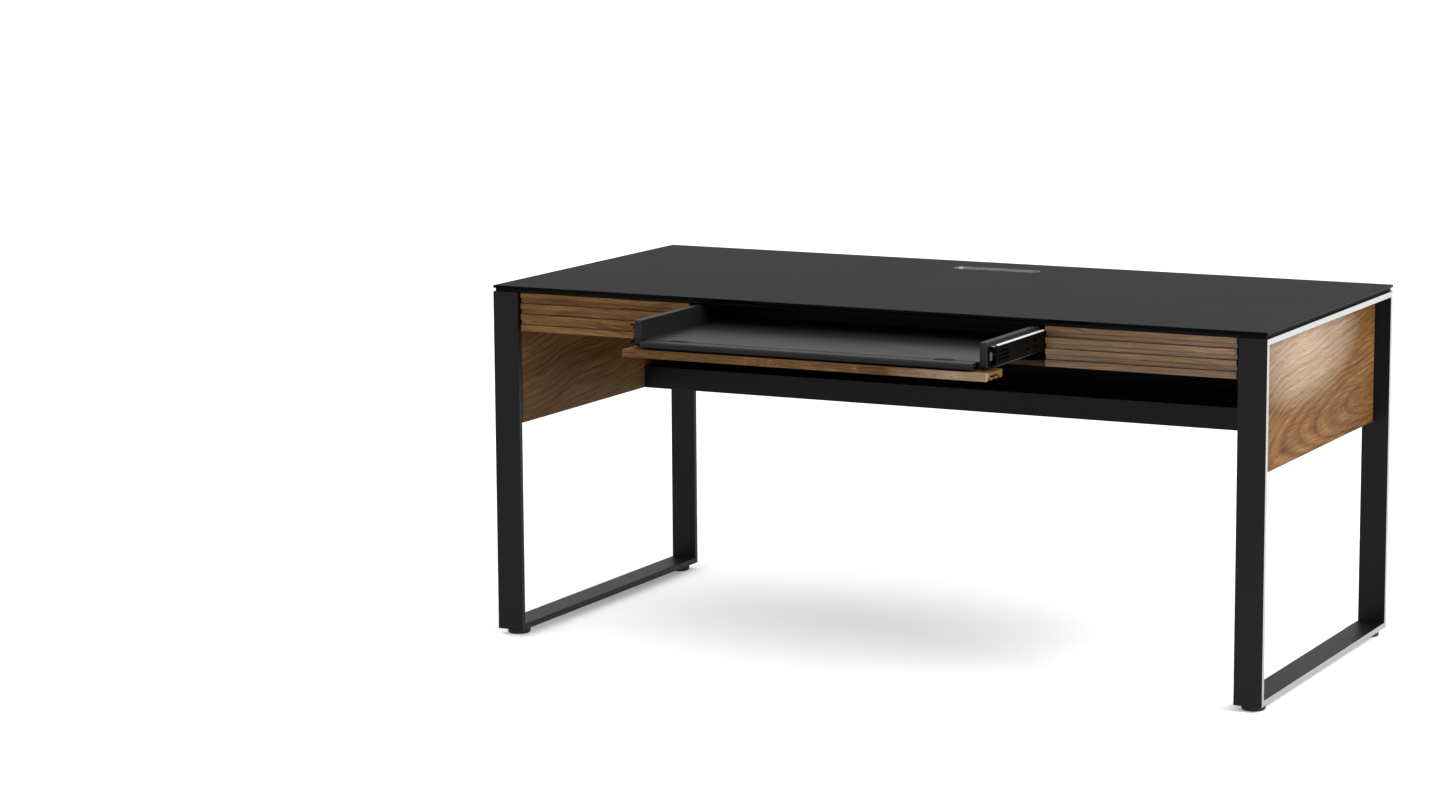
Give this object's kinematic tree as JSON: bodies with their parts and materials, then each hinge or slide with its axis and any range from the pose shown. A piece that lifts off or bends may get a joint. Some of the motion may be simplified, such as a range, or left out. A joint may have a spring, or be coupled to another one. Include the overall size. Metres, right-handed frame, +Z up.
{
  "type": "computer desk with keyboard tray",
  "caption": "Writing desk with black glass top, walnut panels, ring legs, side drawers and a pull-out keyboard tray whose front folds down.",
  "frame": {"origin": "floor level, X at the middle of the desk, Y halfway between the edge of the folded-down tray front and the rear edge of the glass", "axes": "+X to the user's right, +Y from the user towards the rear of the desk, +Z up"},
  "size_m": [1.685, 1.0684, 0.737],
  "materials": {
    "black_glass": "satin etched black glass",
    "black_board": "matt black board",
    "black_steel": "satin black powder coat, outward edge face satin nickel",
    "grey_liner": "satin",
    "walnut": "satin walnut veneer",
    "black_laminate": "matt black laminate",
    "tray_grey": "satin dark grey",
    "zinc_steel": "bright zinc",
    "dark_hinge": "satin black",
    "black_rubber": "matt black"
  },
  "bodies": {
    "root": {"glass_top": "black_glass", "top_board": "black_board", "cable_slot_liner": "grey_liner", "left_leg_ring": "black_steel", "right_leg_ring": "black_steel", "left_side_panel": "walnut", "right_side_panel": "walnut", "case_bottom": "walnut", "case_back": "black_laminate", "left_partition": "black_laminate", "right_partition": "black_laminate", "compartment_rail": "black_laminate", "compartment_floor": "black_laminate", "left_panel_cleat": "black_laminate", "right_panel_cleat": "black_laminate", "tray_left_slide_outer": "zinc_steel", "tray_right_slide_outer": "zinc_steel", "left_drawer_inner_slide_outer": "zinc_steel", "left_drawer_outer_slide_outer": "zinc_steel", "right_drawer_inner_slide_outer": "zinc_steel", "right_drawer_outer_slide_outer": "zinc_steel"},
    "tray": {"tray_floor": "tray_grey", "tray_left_wall": "tray_grey", "tray_right_wall": "tray_grey", "tray_back_wall": "tray_grey", "tray_left_slide_inner": "zinc_steel", "tray_right_slide_inner": "zinc_steel", "left_hinge_tray_leaf": "dark_hinge", "right_hinge_tray_leaf": "dark_hinge"},
    "tray_slide_middles": {"tray_left_slide_middle": "zinc_steel", "tray_right_slide_middle": "zinc_steel"},
    "flap": {"flap_front": "walnut", "flap_carrier_rail": "black_steel", "wrist_rest": "tray_grey", "left_hinge_flap_leaf": "dark_hinge", "right_hinge_flap_leaf": "dark_hinge"},
    "left_drawer": {"left_drawer_front": "walnut", "left_drawer_inner_wall": "black_laminate", "left_drawer_outer_wall": "black_laminate", "left_drawer_back": "black_laminate", "left_drawer_bottom": "black_laminate", "left_drawer_inner_slide_inner": "zinc_steel", "left_drawer_outer_slide_inner": "zinc_steel"},
    "left_drawer_slide_middles": {"left_drawer_inner_slide_middle": "zinc_steel", "left_drawer_outer_slide_middle": "zinc_steel"},
    "right_drawer": {"right_drawer_front": "walnut", "right_drawer_inner_wall": "black_laminate", "right_drawer_outer_wall": "black_laminate", "right_drawer_back": "black_laminate", "right_drawer_bottom": "black_laminate", "right_drawer_inner_slide_inner": "zinc_steel", "right_drawer_outer_slide_inner": "zinc_steel"},
    "right_drawer_slide_middles": {"right_drawer_inner_slide_middle": "zinc_steel", "right_drawer_outer_slide_middle": "zinc_steel"},
    "rear_access_panel": {"rear_access_panel": "black_laminate"},
    "front_left_foot": {"front_left_foot": "black_rubber"},
    "front_right_foot": {"front_right_foot": "black_rubber"},
    "rear_left_foot": {"rear_left_foot": "black_rubber"},
    "rear_right_foot": {"rear_right_foot": "black_rubber"}
  },
  "joints": [
    {"name": "tray_slide", "type": "slide", "parent": "root", "child": "tray", "axis": [0, -1, 0], "range_m": [-0.272, 0.028]},
    {"name": "tray_middles_slide", "type": "slide", "parent": "root", "child": "tray_slide_middles", "axis": [0, -1, 0], "range_m": [-0.2584, 0.0266]},
    {"name": "flap_hinge", "type": "hinge", "parent": "tray", "child": "flap", "pos_m": [0, -0.4928, 0.682], "axis": [-1, 0, 0], "range_deg": [0, 90]},
    {"name": "left_drawer_slide", "type": "slide", "parent": "root", "child": "left_drawer", "axis": [0, -1, 0], "range_m": [0, 0.3]},
    {"name": "left_drawer_middles_slide", "type": "slide", "parent": "root", "child": "left_drawer_slide_middles", "axis": [0, -1, 0], "range_m": [0, 0.15]},
    {"name": "right_drawer_slide", "type": "slide", "parent": "root", "child": "right_drawer", "axis": [0, -1, 0], "range_m": [0, 0.3]},
    {"name": "right_drawer_middles_slide", "type": "slide", "parent": "root", "child": "right_drawer_slide_middles", "axis": [0, -1, 0], "range_m": [0, 0.15]},
    {"name": "access_panel_pull", "type": "slide", "parent": "root", "child": "rear_access_panel", "axis": [0, 1, 0], "range_m": [0, 0.08]},
    {"name": "front_left_foot_screw", "type": "slide", "parent": "root", "child": "front_left_foot", "axis": [0, 0, -1], "range_m": [0, 0.01]},
    {"name": "front_right_foot_screw", "type": "slide", "parent": "root", "child": "front_right_foot", "axis": [0, 0, -1], "range_m": [0, 0.01]},
    {"name": "rear_left_foot_screw", "type": "slide", "parent": "root", "child": "rear_left_foot", "axis": [0, 0, -1], "range_m": [0, 0.01]},
    {"name": "rear_right_foot_screw", "type": "slide", "parent": "root", "child": "rear_right_foot", "axis": [0, 0, -1], "range_m": [0, 0.01]}
  ],
  "couplings": [
    {"joint": "tray_middles_slide", "follows": "tray_slide", "ratio": 0.95},
    {"joint": "left_drawer_middles_slide", "follows": "left_drawer_slide", "ratio": 0.5},
    {"joint": "right_drawer_middles_slide", "follows": "right_drawer_slide", "ratio": 0.5}
  ]
}
